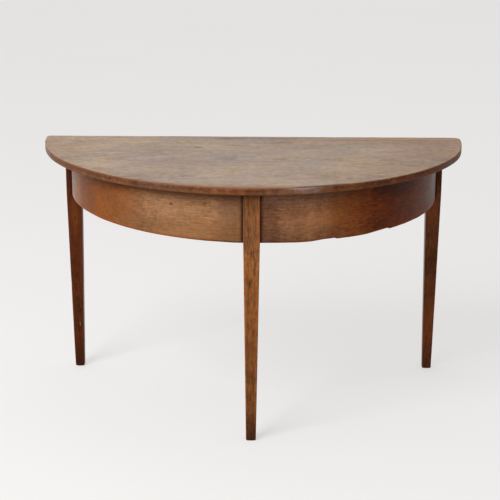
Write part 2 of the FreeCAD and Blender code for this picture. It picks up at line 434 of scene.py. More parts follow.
def board(whole, low_y, high_y, settle):
    """The part of the top between two lines along its length, settled a little against its neighbours."""
    mesh = whole.copy()
    for plane_y, facing in ((low_y, -1), (high_y, 1)):
        everything = mesh.verts[:] + mesh.edges[:] + mesh.faces[:]
        bmesh.ops.bisect_plane(mesh, geom=everything, plane_co=(0, plane_y, 0), plane_no=(0, facing, 0),
                               dist=weld, clear_outer=True)
        bmesh.ops.holes_fill(mesh, edges=mesh.edges, sides=0)
    for vertex in mesh.verts:
        if vertex.co.z > (top_z + top_under_z) / 2:
            vertex.co.z -= settle
    bmesh.ops.recalc_face_normals(mesh, faces=mesh.faces)
    return mesh


def top_edge_gap(point):
    """How far in from the outline of the top a point lies."""
    x = point.x - right_end_shift(point)
    corner, radius = top_corner(x)
    if abs(x) > abs(corner.x) and point.y > corner.y:
        return radius - math.hypot(x - corner.x, point.y - corner.y)
    round_gap = top_radius - math.hypot(x, point.y - top_back_y)
    return min(round_gap, top_back_y - point.y)


def top_wear(point):
    """Strong on the upper arris, fading down the edge and in over an uneven rim, widest at the front."""
    turn = abs(top_turn(point))
    width = mix(rim_front_width, rim_side_width, smooth(rim_narrow_turns, turn))
    width *= 1 + rim_unevenness * uneven(point, *rim_noise)
    rim = fade(rim_softness, max(top_edge_gap(point) / width, (top_z - point.z) / wear_depth))
    at_side = mix(1.0, side_rim_level, smooth(rim_faint_turns, turn))
    return rim * at_side * mix(back_rim_level, 1.0, smooth(back_rim_reach, top_back_y - point.y))


def top_side(point):
    """One on the edge, the underside and a little way in along the curve, nought on the face."""
    rim = stretch(brown_rim_turns, top_turn(point)) * fade(brown_rim_reach, top_edge_gap(point))
    return max(smooth(brown_edge_reach, top_z - point.z), rim)


def top_grime(point):
    """Dirt along the lower arris."""
    return fade(top_dirt_reach, point.z - top_under_z)


def along_x(point):
    """Grain that runs across the width of the table."""
    return (point.x, point.y, point.z)


# The legs

def leg_span(low, high, plumb, height):
    """Low and high side of a leg at one height: plumb -1 or 1 keeps that side upright, 0 tapers both."""
    taken = (high - low - foot_width) * max(1 - height / rail_bottom_z, 0.0)
    return low + taken * (1 + plumb) / 2, high - taken * (1 - plumb) / 2


def make_leg(low, high, plumb, seed):
    """A square tapered leg with eased, worn and dented arrises."""
    dents = []
    for _ in range(dent_count):
        dents.append((random.randrange(4), *(random.uniform(*span) for span in dent_spans)))
    side_rows = [rows(6)] * 4
    heights = [0.0, foot_bevel * 0.35, foot_bevel]
    heights += [mix(foot_bevel, high.z, share) for share in steps(high.z - foot_bevel, ring_step)[1:]]
    rings = []
    for height in heights:
        x_low, x_high = leg_span(low.x, high.x, 0, height)
        y_low, y_high = leg_span(low.y, high.y, plumb, height)
        inset = foot_bevel * max(1 - height / foot_bevel, 0.0) ** 2
        radii = []
        for corner in range(4):
            radius = leg_arris + leg_arris_wear * ripple(height * 22, corner * 9.7, seed)
            radius += leg_arris_wear * foot_wear_gain * fade(foot_wear_reach, height)
            for place, level, reach, depth in dents:
                if place == corner:
                    radius += depth * math.exp(-((height - level) / reach) ** 2)
            radii.append(radius)
        low_corner = (x_low + inset, y_low + inset)
        high_corner = (x_high - inset, y_high - inset)
        middle = Vector(((x_low + x_high) / 2, (y_low + y_high) / 2))
        ring = []
        for x, y in rounded_rectangle(low_corner, high_corner, radii, side_rows):
            swell = 1 - leg_wave * ripple(x * 30 + seed, y * 30, height * 8)
            ring.append(Vector((mix(middle.x, x, swell), mix(middle.y, y, swell), height)))
        rings.append(ring)
    return loft(rings)


def dress_leg(node, low, high, plumb, material, seed):
    """Makes one leg and puts it in its place: plumb -1 for the front leg, 1 for a back leg."""
    middle = (low + high) / 2

    def grain(point):
        return (point.z, point.x - middle.x, point.y - middle.y)

    def wear(point):
        x_low, x_high = leg_span(low.x, high.x, 0, point.z)
        y_low, y_high = leg_span(low.y, high.y, plumb, point.z)
        gap_x = min(point.x - x_low, x_high - point.x)
        gap_y = min(point.y - y_low, y_high - point.y)
        end = rail_bottom_z + leg_wear_ends[point.x > middle.x]
        return fade(leg_wear_reach, max(gap_x, gap_y)) * fade((end, end + leg_wear_fade), point.z)

    def dirt_and_shade(point):
        foot = (front_foot_dirt if plumb < 0 else back_foot_dirt) * fade(foot_dirt_reach, point.z)
        # Painted shade under the top
        shade_under_top = leg_top_shade * smooth(leg_top_reach, point.z)
        if plumb < 0:
            return max(foot, shade_under_top)
        # A painted shadow below the apron's end on a back leg's front face, reaching lower towards the inside
        beside_apron = abs(point.x) - apron_radius
        below_apron = max(rail_bottom_z - point.z + shadow_lean * min(beside_apron, 0.0), 0.0)
        corner = fade(shadow_reach, math.hypot(shadow_narrowness * max(beside_apron, 0.0), below_apron))
        return max(foot, shade_under_top, corner * fade(shadow_depth, point.y - low.y))

    dress(node, make_leg(low, high, plumb, seed), material, grain, wear, dirt_and_shade)


# The bowed apron rails

def lower_edge(side, angle):
    """Height of an apron's worn lower edge at an angle in degrees from the front."""
    height = rail_bottom_z + edge_wave * wobble(angle * 0.17, side * 5.0, 0.3)
    if side < 0:
        slope_start, slope_end = left_edge_reach
        return height + left_edge_slope * (min(max(angle, slope_start), slope_end) - slope_start)
    for *places, rise in right_edge_faults:
        height += rise * stretch(places, angle)
    return height


def apron_angle(point):
    """Angle of a point round the apron, in degrees from the front, the same on both sides."""
    return math.degrees(math.atan2(abs(point.x), apron_centre_y - point.y))


def apron_depth(point):
    """How far in from the apron's outer face a point lies."""
    return apron_radius - math.hypot(point.x, point.y - apron_centre_y)


def make_apron(side):
    """A quarter of a bowed rail, from the front leg to a back leg, with a worn lower edge."""
    inner = apron_radius - apron_thickness
    side_rows = [rows(2), rows(22), rows(2), rows(9)]
    shares = steps(apron_radius * math.pi / 2, ring_step) + apron_end_shares
    shares += [1 - share for share in apron_end_shares]
    rings = []
    for share in sorted(set(shares)):
        degrees = math.degrees(mix(math.asin(half_leg / apron_radius), math.pi / 2, share))
        low_corner = (inner, lower_edge(side, degrees))
        worn = apron_arris + apron_arris_wear * ripple(degrees * 0.5, side * 3.0, 4.4)
        radii = (apron_arris, worn, apron_upper_arris, apron_upper_arris)
        ring = []
        for radius, height in rounded_rectangle(low_corner, (apron_radius, top_under_z), radii, side_rows):
            angle = mix(math.asin(half_leg / radius), math.pi / 2, share)
            bowed = radius + apron_band_depth * wobble(degrees * 0.16 + side * 40, height * 3, 7.7)
            bowed -= apron_band_depth * (1 + 0.4 * wobble(degrees * 0.6, height * 30, side * 2.0))
            y = apron_centre_y - bowed * math.cos(angle)
            ring.append(Vector((side * bowed * math.sin(angle), y, height)))
        rings.append(ring)
    return loft(rings)


def screw_axes():
    """The point and the direction of each packed screw, and its length."""
    mesh = bmesh.new()
    mesh.from_mesh(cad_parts["top_screws"].data)
    bmesh.ops.remove_doubles(mesh, verts=mesh.verts, dist=weld)
    axes = []
    waiting = set(mesh.verts)
    while waiting:
        island = [waiting.pop()]
        for vertex in island:
            for edge in vertex.link_edges:
                other = edge.other_vert(vertex)
                if other in waiting:
                    waiting.discard(other)
                    island.append(other)
        tip = max((vertex.co for vertex in island), key=lambda place: place.z).copy()
        head = min((vertex.co for vertex in island), key=lambda place: place.z)
        centre = sum((vertex.co for vertex in island), Vector()) / len(island)
        direction = (tip - centre).normalized()
        axes.append((tip, direction, (tip - head).dot(direction)))
    mesh.free()
    return axes


def cut_pockets(piece, axes):
    """Bores the screw pockets that open on the inside of a rail."""
    for number, (tip, direction, length) in enumerate(axes):
        cutter = bmesh.new()
        seat = tip - direction * (length - screw_head_height)
        turn = direction.to_track_quat("Z", "Y").to_matrix().to_4x4()
        place = Matrix.Translation(seat - direction * pocket_length / 2) @ turn
        bmesh.ops.create_cone(cutter, cap_ends=True, segments=40, radius1=pocket_radius,
                              radius2=pocket_radius, depth=pocket_length, matrix=place)
        tool = mesh_object(f"pocket_cutter_{number}", cutter)
        bore = piece.modifiers.new("pocket", "BOOLEAN")
        bore.operation = "DIFFERENCE"
        bore.solver = "EXACT"
        bore.object = tool
        shown = piece.evaluated_get(bpy.context.evaluated_depsgraph_get())
        cut = bpy.data.meshes.new_from_object(shown)
        piece.modifiers.clear()
        piece.data = cut
        bpy.data.objects.remove(tool)


def dress_apron(side, node, material, axes):
    """Makes one apron rail and puts it in its place."""
    bored = [axis for axis in axes if axis[0].x * side > 0 and axis[0].y < rail_low.y]

    def grain(point):
        along = side * math.radians(apron_angle(point)) * apron_radius
        return (along, point.z - rail_bottom_z, -apron_depth(point))

    def wear(point):
        angle = apron_angle(point)
        arris = fade(apron_wear_reach, max(apron_depth(point), point.z - lower_edge(side, angle)))
        return smooth(apron_wear_turns, angle) * arris

    def dirt_and_shade(point):
        angle = apron_angle(point)
        # Dirt and painted shade in the joint beside the front leg
        beside_leg = fade(beside_leg_reach, abs(point.x) - half_leg)
        beside_back = fade(beside_back_reach, apron_centre_y - point.y)
        # Painted shade under the top's overhang
        shade_under_top = under_top_shade * smooth(under_top_turns, angle)
        shade_under_top *= fade(under_top_reach, top_under_z - point.z)
        lower_arris = mix(*lower_dirt_levels, smooth(lower_dirt_turns, angle))
        lower_arris *= fade(lower_dirt_reach, point.z - lower_edge(side, angle))
        return max(beside_leg, beside_back, shade_under_top, lower_arris)

    def inside(point):
        return smooth(raw_reach, apron_depth(point))

    dress(node, make_apron(side), material, grain, wear, dirt_and_shade, inside, bored)


# The straight rails inside

def dress_bar(node, low, high, along, material, seed, axes=()):
    """Makes one sawn rail along X or Y, with eased arrises, and puts it in its place."""
    across = 1 - along
    side_rows = [rows(3), rows(6), rows(3), rows(6)]
    rings = []
    for share in steps(high[along] - low[along], ring_step * 3):
        place = mix(low[along], high[along], share)
        radii = [rail_arris * (1 + 0.6 * wobble(place * 25, corner * 5.3, seed)) for corner in range(4)]
        ring = []
        for wide, height in rounded_rectangle((low[across], low.z), (high[across], high.z), radii, side_rows):
            point = Vector((0.0, 0.0, height))
            point[along] = place
            point[across] = wide + rail_wave * wobble(place * 18, height * 30, seed + 2)
            ring.append(point)
        rings.append(ring)

    def grain(point):
        return (point[along], point.z - low.z, point[across] - low[across])

    def dirt_and_shade(point):
        to_end = min(point[along] - low[along], high[along] - point[along])
        return rail_end_dirt * fade(rail_end_reach, to_end)

    dress(node, loft(rings), material, grain, dirt_and_shade=dirt_and_shade, axes=axes)


def dress_block(node, along, material):
    """A glue block with its sawn arrises broken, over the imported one, with the grain along a direction."""
    made = bmesh.new()
    made.from_mesh(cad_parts[node].data)
    bmesh.ops.remove_doubles(made, verts=made.verts, dist=weld)
    bmesh.ops.dissolve_limit(made, angle_limit=flat_angle, verts=made.verts, edges=made.edges)
    sharp = [edge for edge in made.edges if edge.calc_face_angle(0.0) > sharp_angle]
    bmesh.ops.bevel(made, geom=sharp, offset=block_bevel, segments=2, profile=0.5, affect="EDGES",
                    clamp_overlap=True)
    bmesh.ops.triangulate(made, faces=[face for face in made.faces if len(face.verts) > 4])
    across = along.orthogonal().normalized()
    depth = along.cross(across)

    def grain(point):
        return (point.dot(along), point.dot(across), point.dot(depth))

    dress(node, made, material, grain)


# Materials

# Waves to the metre along and across the grain in the streaks and the mottle of each wood
top_streaks = (9, 110)
top_mottle = (58, 50)
apron_streaks = (44, 290)
apron_mottle = (110, 130)
leg_streaks = (46, 300)
leg_mottle = (50, 150)
softwood_streaks = (9, 160)

# Widths of the growth rings, the middle reach of the noise and the edge of a spot, inwards
top_ring = 0.0045
frame_ring = 0.0034
softwood_ring = 0.0048
noise_reach = (0.3, 0.7)
spot_edge = (1.2, 0.5)

# Where the dark, the middle and the light tone of a wood lie on its ramp, and how they differ from its colour
tone_places = (0.2, 0.5, 0.8)
shade_levels = (0.64, 1.0, 1.2)


class Shader:
    """A node tree in the making. Each call adds a node and returns the output to link on."""

    def __init__(self, owner):
        owner.use_nodes = True
        self.owner = owner
        self.tree = owner.node_tree
        self.tree.nodes.clear()

    def add(self, kind, inputs, output=0, **settings):
        node = self.tree.nodes.new("ShaderNode" + kind)
        for setting, value in settings.items():
            setattr(node, setting, value)
        for socket, value in inputs.items():
            if isinstance(value, bpy.types.NodeSocket):
                self.tree.links.new(value, node.inputs[socket])
            else:
                node.inputs[socket].default_value = value
        return node.outputs[output] if node.outputs else None

    def math(self, operation, first, second=0.0):
        return self.add("Math", {0: first, 1: second}, operation=operation)

    def times(self, first, second):
        return self.math("MULTIPLY", first, second)

    def plus(self, first, second):
        return self.math("ADD", first, second)

    def centred(self, value):
        return self.math("SUBTRACT", value, 0.5)

    def vector(self, operation, first, second):
        return self.add("VectorMath", {0: first, 1: second}, operation=operation)

    def length(self, vector):
        return self.add("VectorMath", {0: vector}, "Value", operation="LENGTH")

    def part(self, vector, axis):
        return self.add("SeparateXYZ", {0: vector}, axis)

    def noise(self, vector, along, across, detail=3, rough=0.55):
        """Noise with so many waves to the metre along the grain and across it."""
        scaled = self.vector("MULTIPLY", vector, (along, across, across))
        return self.add("TexNoise", {"Vector": scaled, "Scale": 1.0, "Detail": detail, "Roughness": rough})

    def step(self, value, reach, levels=(0.0, 1.0)):
        """A soft step between two levels while the value runs through a reach."""
        sockets = ("Value", "From Min", "From Max", "To Min", "To Max")
        inputs = dict(zip(sockets, (value, *reach, *levels)))
        return self.add("MapRange", inputs, interpolation_type="SMOOTHSTEP")

    def blend(self, share, first, second, mode="MIX"):
        return self.add("MixRGB", {"Fac": share, "Color1": first, "Color2": second}, blend_type=mode)

    def cover(self, base, share, strength, shade):
        """Lays a colour over the base by a share and a strength."""
        return self.blend(self.times(share, strength), base, shade)

    def seen(self):
        """One for a ray that shows a surface, straight or by reflection, and nought for light."""
        rays = self.add("LightPath", {}).node
        shown = rays.outputs["Is Camera Ray"]
        for kind in ("Is Glossy Ray", "Is Transmission Ray"):
            shown = self.math("MAXIMUM", shown, rays.outputs[kind])
        return shown

    def close(self, base, roughness, height, bump, specular=0.5, metallic=0.0, distance=0.0006):
        normal = self.add("Bump", {"Strength": bump, "Distance": distance, "Height": height})
        surface = self.add("BsdfPrincipled", {
            "Base Color": base, "Roughness": roughness, "Normal": normal,
            "Specular IOR Level": specular, "Metallic": metallic,
        })
        self.add("OutputMaterial", {"Surface": surface})
        return self.owner


class Wood(Shader):
    """Sawn wood: drift of the fibres, streaks, fine fibres, pores, growth rings and blotches.

    The rings run round the pith, which lies off the board and leans along it, so that they show as arches.
    """

    def __init__(self, name, pith, streaks, ring_width, lean=0.0):
        super().__init__(bpy.data.materials.new(name))
        self.grain = self.add("Attribute", {}, "Vector", attribute_name="grain")
        self.place = self.vector("ADD", self.grain, [random.uniform(-4, 4) for _ in range(3)])
        drift = self.times(self.centred(self.noise(self.place, 2.2, 7, 2)), 0.014)
        run = self.vector("ADD", self.place, self.add("CombineXYZ", {"Y": drift, "Z": drift}))
        tilt = self.times(self.part(self.grain, "X"), lean)
        bent = self.vector("ADD", self.grain, self.add("CombineXYZ", {"Y": drift, "Z": tilt}))
        flat = self.vector("MULTIPLY", bent, (0.0, 1.0, 1.0))
        distance = self.length(self.vector("SUBTRACT", flat, (0.0, *pith)))
        ring = self.math("FRACT", self.math("DIVIDE", distance, ring_width))
        self.early = self.times(self.step(ring, (0.6, 0.1)), self.step(ring, (0.0, 0.1)))
        dash = self.step(self.noise(run, 95, 2100, 2), (0.54, 0.68))
        self.pores = self.times(dash, self.plus(self.early, 0.35))
        self.fleck = self.step(self.noise(run, 60, 420, 2), (0.58, 0.7))
        self.streak = self.noise(run, *streaks, 4, 0.62)
        self.fibre = self.noise(run, 34, 1000, 3, 0.6)
        self.blotch = self.noise(self.place, 5, 9, 3, 0.6)
        self.curl = self.noise(self.place, 45, 9, 2)
        self.patina = self.noise(self.place, 3.1, 8, 3, 0.6)
        self.cloud = self.noise(self.place, 1.7, 3, 2)
        self.speck = self.noise(self.place, 70, 110, 4, 0.7)

    def lightness(self, streak, early, fibre, blotch, curl=0.0):
        """How light the wood is, about one half on average. The streaks come and go along the board."""
        strength = self.step(self.patina, noise_reach, (0.4 * streak, 1.6 * streak))
        gains = ((self.streak, strength), (self.fibre, fibre), (self.blotch, blotch), (self.curl, curl))
        total = 0.5
        for layer, gain in gains:
            total = self.plus(self.times(self.centred(layer), gain), total)
        return self.plus(self.times(self.early, -early), total)

    def mottle(self, pitch):
        return self.centred(self.noise(self.place, *pitch, 3, 0.6))

    def amount(self, name):
        return self.add("Attribute", {}, "Fac", attribute_name=name)

    def broken(self, name, source, reach):
        """A measured amount, broken up where the noise is low."""
        return self.times(self.amount(name), self.step(source, reach))

    def tones(self, value, colours):
        """A dark, a middle and a light colour by the value."""
        output = self.add("ValToRGB", {"Fac": value})
        stops = output.node.color_ramp.elements
        stops.new(tone_places[1])
        for stop, place, shade in zip(stops, tone_places, colours):
            stop.position = place
            stop.color = shade
        return output

    def toned(self, value, shade):
        """Three tones of one colour, so that the wood keeps its figure."""
        return self.tones(value, shades(*shade))

    def layer(self, base, source, plan, value):
        """Lays wood over the base by a plan: the reach of a source, a strength and a colour."""
        reach, strength, shade = plan
        return self.cover(base, self.step(source, reach), strength, self.toned(value, shade))

    def spot(self, centre, size, ragged):
        """One inside an ellipse in the grain's own coordinates, with a ragged edge."""
        scaled = self.vector("DIVIDE", self.vector("SUBTRACT", self.grain, centre), size)
        return self.step(self.plus(self.length(scaled), ragged), spot_edge)

    def mark(self, base, level, marks, ragged, value=None):
        """Lays marks over the base: flat colours, or wood where a value gives the figure."""
        for centre, size, shade, strength in marks:
            spot = self.spot((*centre, level), (*size, 1.0), ragged)
            tone = colour(*shade) if value is None else self.toned(value, shade)
            base = self.cover(base, spot, strength, tone)
        return base

    def finish(self, base, roughness, specular):
        """Ends the material, with raised fibres and sunk pores."""
        height = self.math("SUBTRACT", self.times(self.fibre, 0.4), self.pores)
        return self.close(base, self.step(self.blotch, noise_reach, roughness), height, 0.3, specular)


# The dark, the middle and the light tone of the upper face, the edge and the softwood
face_colours = [colour(124, 105, 89), colour(166, 146, 129), colour(188, 170, 152)]
edge_colours = [colour(58, 28, 14), colour(109, 63, 34), colour(140, 87, 51)]
softwood_colours = [colour(102, 70, 44), colour(148, 107, 68), colour(172, 132, 90)]

# Layers of the upper face and the edge: what shows each, its reach there, a strength and a colour
face_layers = [
    ("stain", (0.5, 0.36), 0.5, (176, 149, 118)),
    ("stain", (0.5, 0.64), 0.5, (156, 136, 129)),
    ("cloud", (0.48, 0.68), 0.35, (176, 148, 114)),
    ("patina", (0.5, 0.68), 0.4, (148, 130, 122)),
    ("end", (-0.26, -0.62), 0.55, (184, 158, 128)),
    ("end", (0.22, 0.62), 0.6, (156, 121, 92)),
    ("round", (0.82 * top_radius, 0.95 * top_radius), 0.5, (157, 130, 108)),
]
edge_layers = [
    ("blotch", (0.52, 0.3), 0.35, (78, 44, 26)),
    ("speck", (0.56, 0.66), "scuffed", (150, 112, 86)),
    ("height", (top_z - 0.008, top_under_z + 0.002), 0.35, (146, 88, 44)),
    ("height", (top_under_z + 0.0012, top_under_z + 0.0002), 0.7, (126, 88, 58)),
]

# Stains on the upper face: middle along and across, half length and width, colour, strength
top_marks = [
    ((-0.076, 0.276), (0.04, 0.01), (96, 70, 52), 0.6),
    ((-0.045, 0.186), (0.036, 0.009), (112, 82, 60), 0.5),
    ((-0.157, 0.159), (0.011, 0.006), (78, 52, 34), 0.8),
    ((0.085, 0.225), (0.045, 0.014), (104, 76, 58), 0.5),
    ((0.09, 0.275), (0.05, 0.01), (104, 74, 54), 0.5),
    ((0.36, 0.262), (0.28, 0.009), (146, 92, 60), 0.55),
    ((0.02, 0.285), (0.24, 0.03), (130, 106, 84), 0.25),
    ((-0.2, -0.02), (0.09, 0.05), (136, 116, 104), 0.25),
]

# Red, brown and grey patches of the curved edge, given in the same way; the two grey ones at the far ends are
# painted reflections
edge_marks = [
    ((0.52, 0.05), (0.34, 0.36), (110, 44, 9), 0.75),
    ((-0.235, -0.25), (0.11, 0.06), (104, 74, 56), 0.65),
    ((-0.45, -0.1), (0.15, 0.15), (88, 56, 38), 0.6),
    ((0.115, -0.288), (0.1, 0.03), (132, 96, 76), 0.65),
    ((0.15, -0.284), (0.036, 0.03), (164, 138, 126), 0.45),
    ((-0.58, 0.12), (0.22, 0.28), (98, 62, 42), 0.6),
    # Painted reflections: both far ends of the edge greyer and lighter
    ((-0.59, 0.23), (0.06, 0.17), (138, 114, 104), 0.7),
    ((0.6, 0.25), (0.05, 0.14), (116, 96, 92), 0.7),
]

# The pale chip in the arris at the right front: its middle and half sizes
chip_centre = (0.130, -0.290, top_z - 0.0034)
chip_size = (0.045, 0.02, 0.0034)

# The dark rim beside it: where it starts and is full in height, inwards and from both ends
rim_heights = (top_z - 0.0022, top_z - 0.0008)
rim_insets = (0.014, 0.008)
rim_start = (0.095, 0.125)
rim_end = (0.27, 0.21)


def oak_top(name, pith, lean, tint):
    """Sun-bleached oak: dull grey-tan above, warmer at both ends, brown and worn on the edge."""
    wood = Wood(name, pith, top_streaks, top_ring, lean)
    across, depth, height = [wood.part(wood.grain, axis) for axis in "XYZ"]
    from_middle = wood.length(wood.vector("SUBTRACT", wood.grain, (0.0, top_back_y, top_z)))
    mottle = wood.mottle(top_mottle)
    value = wood.plus(wood.lightness(0.42, 0.08, 0.42, 0.5), wood.times(mottle, 0.45))
    lively = wood.plus(value, wood.times(mottle, 0.5))
    ragged = wood.times(wood.centred(wood.cloud), 0.5)
    rough = wood.plus(wood.times(wood.centred(wood.streak), 2.0), wood.centred(wood.speck))
    fray = wood.centred(wood.noise(wood.place, 130, 420, 3, 0.65))
    sources = {
        "stain": wood.noise(wood.place, 10, 10), "cloud": wood.cloud, "patina": wood.patina,
        "end": wood.plus(across, ragged), "round": wood.plus(from_middle, ragged),
        "blotch": wood.blotch, "speck": wood.speck, "height": height,
    }
    strengths = {"scuffed": wood.step(across, (0.0, 0.4), (0.4, 0.12))}
    face = wood.blend(1.0, wood.tones(value, face_colours), tint, "MULTIPLY")
    for source, *plan in face_layers:
        face = wood.layer(face, sources[source], plan, value)
    face = wood.mark(face, top_z, top_marks, wood.plus(rough, wood.times(fray, 3.0)))
    edge = wood.mark(wood.tones(lively, edge_colours), top_z, edge_marks, rough, lively)
    for source, reach, strength, shade in edge_layers:
        edge = wood.layer(edge, sources[source], (reach, strengths.get(strength, strength), shade), value)
    inset = wood.math("SUBTRACT", top_radius, from_middle)
    rim = wood.times(wood.step(height, rim_heights), wood.step(inset, rim_insets))
    for reach in (rim_start, rim_end):
        rim = wood.times(rim, wood.step(across, reach))
    waxed = wood.step(across, (0.07, 0.14), (0.95, 0.2))
    layers = [
        (wood.broken("wear", wood.speck, (0.22, 0.52)), waxed, colour(140, 82, 42)),
        (wood.spot(chip_centre, chip_size, rough), 0.85, wood.toned(value, (172, 140, 126))),
        (rim, 0.85, colour(84, 54, 38)),
        (wood.broken("dirt_and_shade", wood.blotch, (0.3, 0.6)), 0.25, colour(58, 36, 24)),
    ]
    for joint_y in (front_joint_y, back_joint_y):
        gap = wood.math("ABSOLUTE", wood.math("SUBTRACT", depth, joint_y))
        line = wood.times(wood.step(gap, (0.0012, 0.0002)), wood.step(wood.patina, (0.3, 0.6)))
        layers.append((line, 0.6, colour(64, 44, 32)))
    layers.append((wood.pores, 0.35, colour(78, 56, 42)))
    base = wood.blend(wood.amount("side"), face, edge)
    for layer in layers:
        base = wood.cover(base, *layer)
    return wood.finish(base, (0.42, 0.56), 0.15)


def oak_frame(name, pith, tone, worn, patches, figured, streaks, mottle_pitch, blotched=0.8):
    """Aged red-brown oak under wax, lighter on worn arrises, dark with dirt and painted shade in the corners
    and under the top; some patches are painted sheen or painted shade.
    """
    wood = Wood(name, pith, streaks, frame_ring)
    value = wood.lightness(1.3 * figured, 0.14 * figured, 0.9 * figured, blotched, 0.5 * figured)
    value = wood.plus(value, wood.times(wood.mottle(mottle_pitch), 0.2 + 0.6 * figured))
    base = wood.cover(wood.toned(value, tone), wood.step(wood.cloud, (0.45, 0.68)), 0.3, shades(*tone)[-1])
    rough = wood.plus(wood.centred(wood.streak), wood.centred(wood.speck))
    base = wood.mark(base, 0.0, patches, rough, value)
    layers = [
        (wood.fleck, 0.3 * figured, worn),
        (wood.amount("side"), 0.7, wood.toned(value, raw_oak)),
        (wood.broken("wear", wood.speck, (0.34, 0.6)), 0.7, worn),
        # Dirt, and painted shade under the top, in the joints beside the front leg and below the aprons' ends
        (wood.broken("dirt_and_shade", wood.blotch, (0.15, 0.5)), 0.88, colour(40, 18, 9)),
        (wood.pores, 0.5 * figured, colour(48, 25, 13)),
    ]
    for layer in layers:
        base = wood.cover(base, *layer)
    return wood.finish(base, (0.28, 0.42), 0.06)


def softwood(name):
    """Bare sawn softwood, darkened by age, with saw marks across the grain."""
    wood = Wood(name, (0.06, -0.12), softwood_streaks, softwood_ring)
    base = wood.tones(wood.lightness(0.7, 0.22, 0.5, 0.7), softwood_colours)
    base = wood.cover(base, wood.amount("dirt_and_shade"), wood.blotch, colour(60, 42, 28))
    base = wood.cover(base, wood.step(wood.cloud, (0.42, 0.7)), 0.35, colour(122, 104, 86))
    saw = wood.noise(wood.grain, 620, 6, 1)
    height = wood.plus(wood.times(saw, 0.6), wood.fibre)
    return wood.close(base, wood.step(wood.blotch, noise_reach, (0.68, 0.84)), height, 0.35, 0.25)


def screw_steel():
    """Old screw steel: dark, dull and a little rusty."""
    steel = Shader(bpy.data.materials.new("old_screw_steel"))
    place = steel.add("TexCoord", {}, "Object")
    mottle = steel.noise(place, 420, 420, 4, 0.65)
    fine = steel.noise(place, 2600, 2600, 2)
    rust = steel.step(mottle, (0.52, 0.66))
    base = steel.blend(rust, colour(84, 78, 72), colour(92, 54, 32))
    roughness = steel.step(mottle, (0.35, 0.65), (0.42, 0.72))
    metallic = steel.step(rust, (0.0, 1.0), (0.9, 0.3))
    return steel.close(base, roughness, steel.plus(mottle, fine), 0.3, metallic=metallic, distance=0.0002)


# Patches of the frame: middle along and across the grain, half length and width, colour, strength
left_patches = [
    # A painted sheen: a lighter, greyer stretch where the lamp's reflection falls
    ((-0.2, 0.07), (0.24, 0.2), (186, 142, 104), 0.7),
    ((-0.44, 0.05), (0.15, 0.2), (134, 72, 24), 0.65),
    ((-0.56, 0.07), (0.06, 0.2), (122, 70, 38), 0.55),
    ((-0.02, 0.08), (0.09, 0.2), (120, 84, 60), 0.65),
    # The next two patches are painted shade under the top's overhang
    ((-0.46, 0.125), (0.12, 0.03), (118, 64, 34), 0.5),
    ((-0.22, 0.137), (0.34, 0.036), (116, 56, 32), 0.35),
    ((-0.16, 0.01), (0.26, 0.062), (140, 96, 60), 0.7),
    # A painted sheen: the far end greyer and lighter, as a grazing reflection
    ((-0.78, 0.07), (0.16, 0.2), (154, 122, 108), 0.75),
    ((-0.218, 0.093), (0.0065, 0.0045), (80, 46, 28), 0.7),
]
right_patches = [
    ((0.09, 0.07), (0.13, 0.2), (166, 118, 86), 0.7),
    ((0.1, 0.0), (0.18, 0.045), (122, 84, 62), 0.65),
    ((0.035, 0.07), (0.04, 0.2), (116, 76, 54), 0.75),
    ((0.16, 0.04), (0.06, 0.05), (176, 120, 78), 0.5),
    ((0.13, 0.128), (0.15, 0.034), (176, 128, 102), 0.55),
    ((0.52, 0.06), (0.26, 0.25), (132, 50, 10), 0.8),
    # Painted shade under the top's overhang
    ((0.47, 0.115), (0.14, 0.045), (80, 34, 14), 0.8),
    ((0.66, 0.06), (0.16, 0.25), (106, 54, 16), 0.7),
    ((0.8, 0.06), (0.17, 0.25), (84, 50, 34), 0.85),
]
front_leg_patches = [
    ((0.62, 0.0), (0.14, 0.08), (138, 94, 62), 0.5),
    ((0.51, 0.0), (0.05, 0.08), (174, 112, 64), 0.6),
    ((0.4, 0.004), (0.14, 0.03), (166, 100, 50), 0.4),
    ((0.23, 0.0), (0.06, 0.08), (124, 72, 36), 0.5),
    ((0.06, 0.0), (0.08, 0.08), (116, 70, 40), 0.5),
    ((0.447, -0.004), (0.011, 0.0022), (62, 34, 18), 0.7),
    ((0.438, 0.001), (0.007, 0.0016), (66, 36, 20), 0.6),
]
left_leg_patches = [
    ((0.49, 0.0), (0.07, 0.012), (114, 62, 26), 0.5),
    ((0.2, 0.0), (0.1, 0.1), (106, 52, 22), 0.6),
    ((0.138, 0.005), (0.008, 0.0018), (160, 134, 118), 0.8),
    ((0.192, 0.001), (0.016, 0.0013), (50, 26, 16), 0.8),
]
right_leg_patches = [
    # Painted light: the upper leg lighter to offset the shade under the top
    ((0.5, 0.0), (0.24, 0.1), (158, 90, 54), 0.85),
    # Painted shade just under the top
    ((0.64, 0.0), (0.09, 0.1), (74, 44, 30), 0.5),
    ((0.33, 0.0), (0.05, 0.1), (112, 64, 42), 0.5),
]
raw_oak = (128, 90, 58)
apron_worn = colour(172, 80, 24)
leg_worn = colour(192, 110, 46)
back_leg_worn = colour(116, 58, 30)

# Boards of the top: where each starts and ends, how far it has settled, its pith, the pith's lean and a tint
past_edge = 0.1
board_plans = [
    ("front", front_board_low.y - past_edge, front_joint_y, 0.0, (-0.17, 0.12), 0.035, (1.0, 1.0, 1.0, 1.0)),
    ("middle", front_joint_y, back_joint_y, 0.00015, (0.02, 0.17), -0.03, (0.97, 0.98, 1.0, 1.0)),
    ("back", back_joint_y, top_back_y + past_edge, 0.00025, (0.34, 0.10), 0.02, (1.0, 0.985, 0.975, 1.0)),
]

